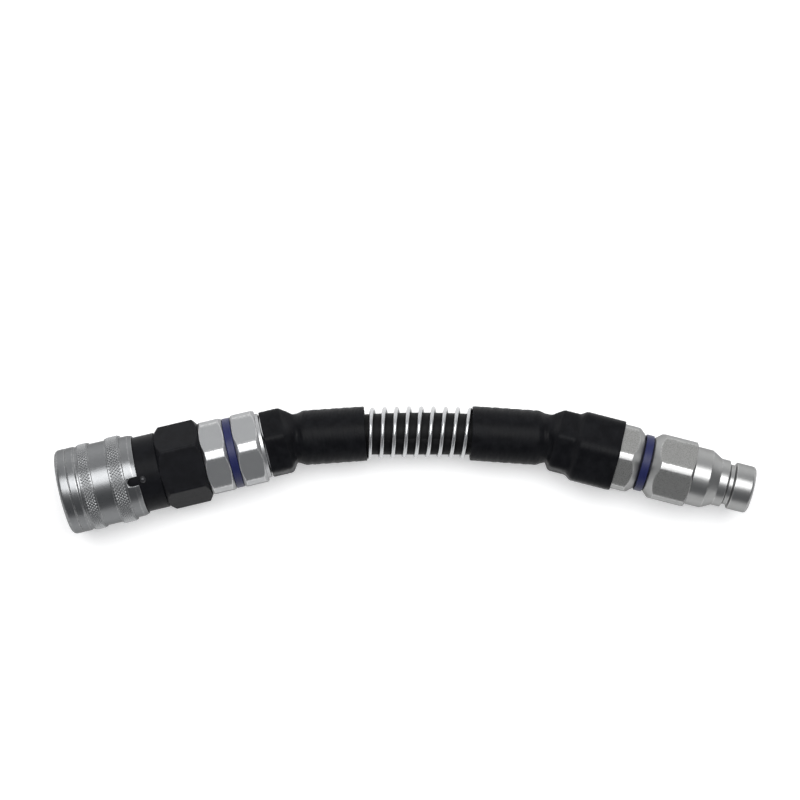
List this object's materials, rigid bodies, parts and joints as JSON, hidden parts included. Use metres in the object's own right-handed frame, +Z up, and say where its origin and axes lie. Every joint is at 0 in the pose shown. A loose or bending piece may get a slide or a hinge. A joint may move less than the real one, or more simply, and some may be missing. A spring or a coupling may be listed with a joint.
{
  "type": "hydraulic hose assembly",
  "caption": "Short hydraulic jumper hose with spring guard, heat shrink sleeves, a flat-face female quick coupler with pull-back sleeve on one end and a flat-face male plug on the other",
  "frame": {"origin": "on the bench under the middle of the resting part", "axes": "+X from the female coupler to the male plug, +Y towards the outside of the bend, +Z up from the bench the part lies on"},
  "size_m": [0.3993, 0.073, 0.0507],
  "materials": {
    "black_body": "black zinc plated steel, satin",
    "turned_steel": "turned, bright zinc plated, satin",
    "plug_steel": "turned, zinc plated, finely speckled flats",
    "ball_steel": "polished steel balls",
    "dark_ball": "blackened steel ball",
    "spring_steel": "spring steel, plain",
    "guard_wire": "bright zinc plated spring wire",
    "seal_rubber": "nitrile rubber, matte",
    "heat_shrink": "shrunk polyolefin, satin",
    "band": "coloured plastic band, satin",
    "hose_tube": "oil resistant rubber",
    "hose_braid": "two braids of brass coated steel wire",
    "hose_cover": "black rubber with fine wrap marks"
  },
  "bodies": {
    "hose_assembly": {"coupler_body": "black_body", "locking_balls": "ball_steel", "sleeve_lock_ball": "dark_ball", "sleeve_stop_ring": "spring_steel", "sleeve_spring": "spring_steel", "valve_sleeve_spring": "spring_steel", "valve_stem": "turned_steel", "valve_stem_seal": "seal_rubber", "socket_nose_seal": "seal_rubber", "adapter_seal": "seal_rubber", "hex_adapter": "turned_steel", "adapter_band": "band", "coupler_face_seal": "seal_rubber", "coupler_swivel_nut": "turned_steel", "coupler_hose_stem": "turned_steel", "coupler_ferrule": "turned_steel", "coupler_heat_shrink": "heat_shrink", "hose_liner": "hose_tube", "hose_braid": "hose_braid", "hose_cover": "hose_cover", "spring_guard": "guard_wire", "plug_heat_shrink": "heat_shrink", "plug_ferrule": "turned_steel", "plug_hose_stem": "turned_steel", "plug_swivel_nut": "turned_steel", "plug_face_seal": "seal_rubber", "plug_adapter": "plug_steel", "plug_adapter_seal": "seal_rubber", "plug_body": "plug_steel", "plug_band": "band", "plug_valve_spring": "spring_steel", "plug_valve_guide": "turned_steel", "plug_guide_ring": "spring_steel"},
    "locking_sleeve": {"locking_sleeve": "turned_steel", "sleeve_thrust_ring": "spring_steel"},
    "valve_sleeve": {"valve_sleeve": "turned_steel"},
    "plug_poppet": {"plug_poppet": "plug_steel", "plug_poppet_seal": "seal_rubber"}
  },
  "joints": [
    {"name": "sleeve_slide", "type": "slide", "parent": "hose_assembly", "child": "locking_sleeve", "axis": [0.9723, 0.2313, -0.0342], "range_m": [0, 0.006], "stiffness_N_per_m": 2000, "springref_m": -0.006, "deforming": ["sleeve_spring"]},
    {"name": "valve_sleeve_slide", "type": "slide", "parent": "hose_assembly", "child": "valve_sleeve", "axis": [0.9723, 0.2313, -0.0342], "range_m": [0, 0.018], "stiffness_N_per_m": 1200, "springref_m": -0.004, "deforming": ["valve_sleeve_spring"]},
    {"name": "poppet_slide", "type": "slide", "parent": "hose_assembly", "child": "plug_poppet", "axis": [-0.9678, 0.2497, -0.0319], "range_m": [0, 0.01], "stiffness_N_per_m": 900, "springref_m": -0.003, "deforming": ["plug_valve_spring"]}
  ]
}
